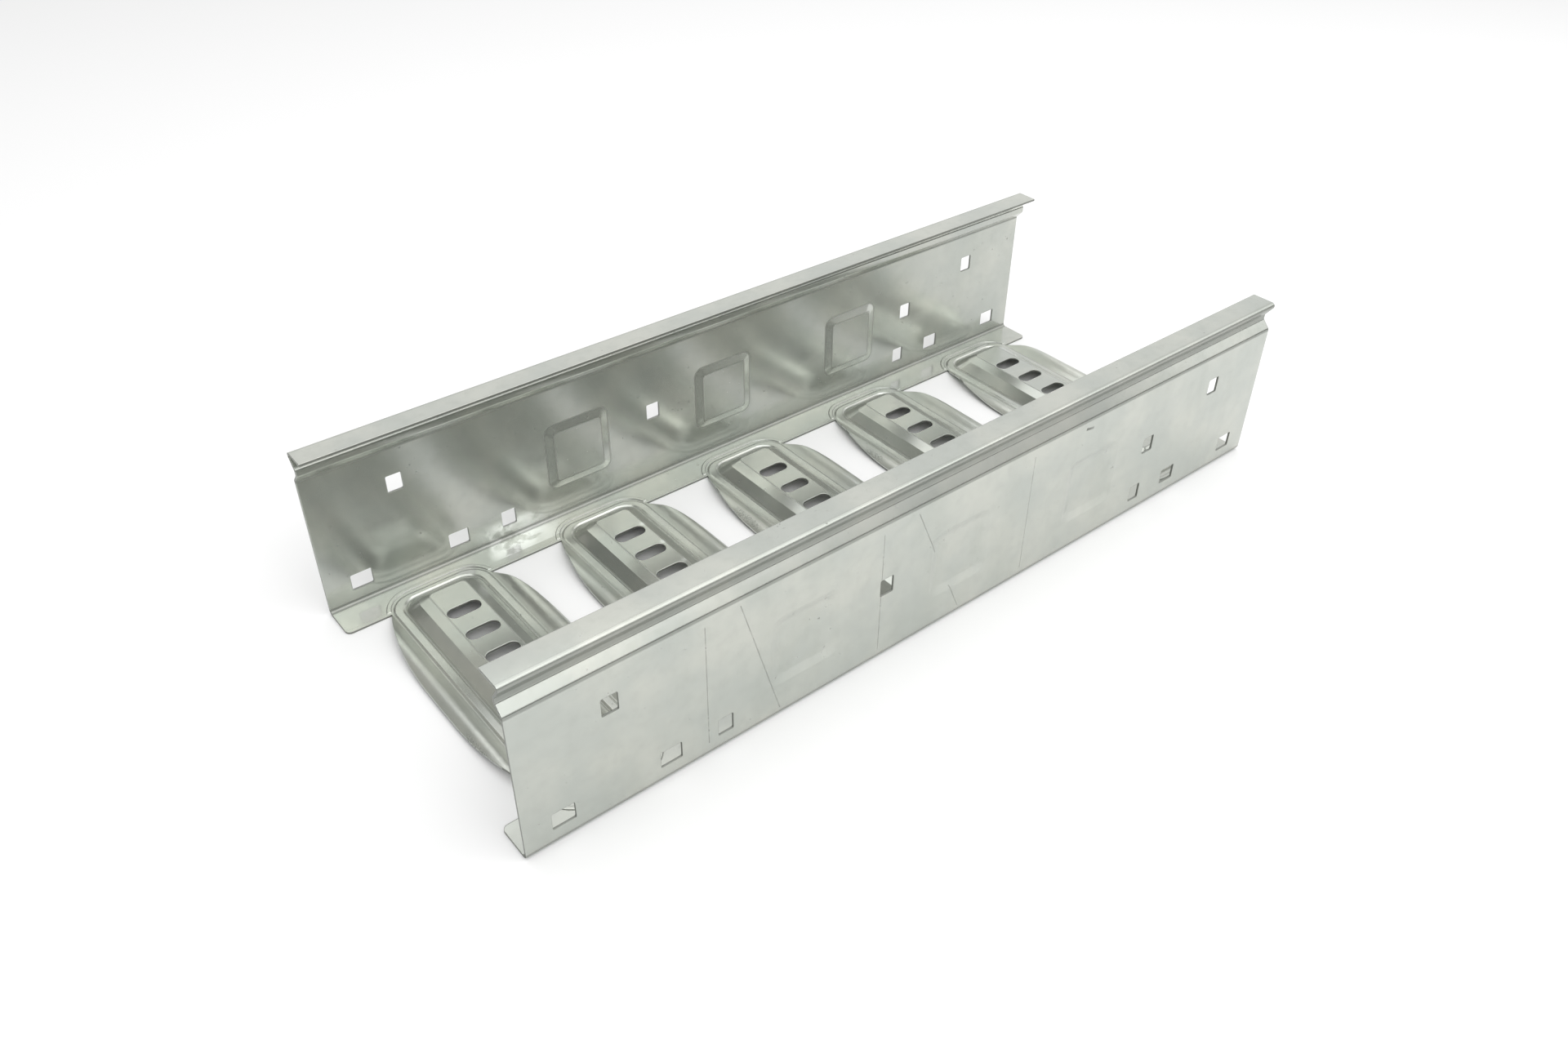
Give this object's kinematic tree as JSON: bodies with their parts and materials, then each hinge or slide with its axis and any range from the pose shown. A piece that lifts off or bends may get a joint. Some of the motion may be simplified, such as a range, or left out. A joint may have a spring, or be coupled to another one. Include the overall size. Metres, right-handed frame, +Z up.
{
  "type": "cable ladder section",
  "caption": "Straight section of steel cable ladder pressed from one sheet: two side rails with grooved, flat-topped heads, joined by raised slotted rungs.",
  "frame": {"origin": "middle of the section, on the level of the flanges' underside, which it stands on", "axes": "+X along the section, +Y across it, +Z up"},
  "size_m": [0.5, 0.2, 0.101],
  "materials": {
    "galvanised_steel": "bright hot-dip galvanised sheet, slightly cloudy"
  },
  "bodies": {
    "root": {"ladder_sheet": "galvanised_steel"}
  },
  "joints": []
}
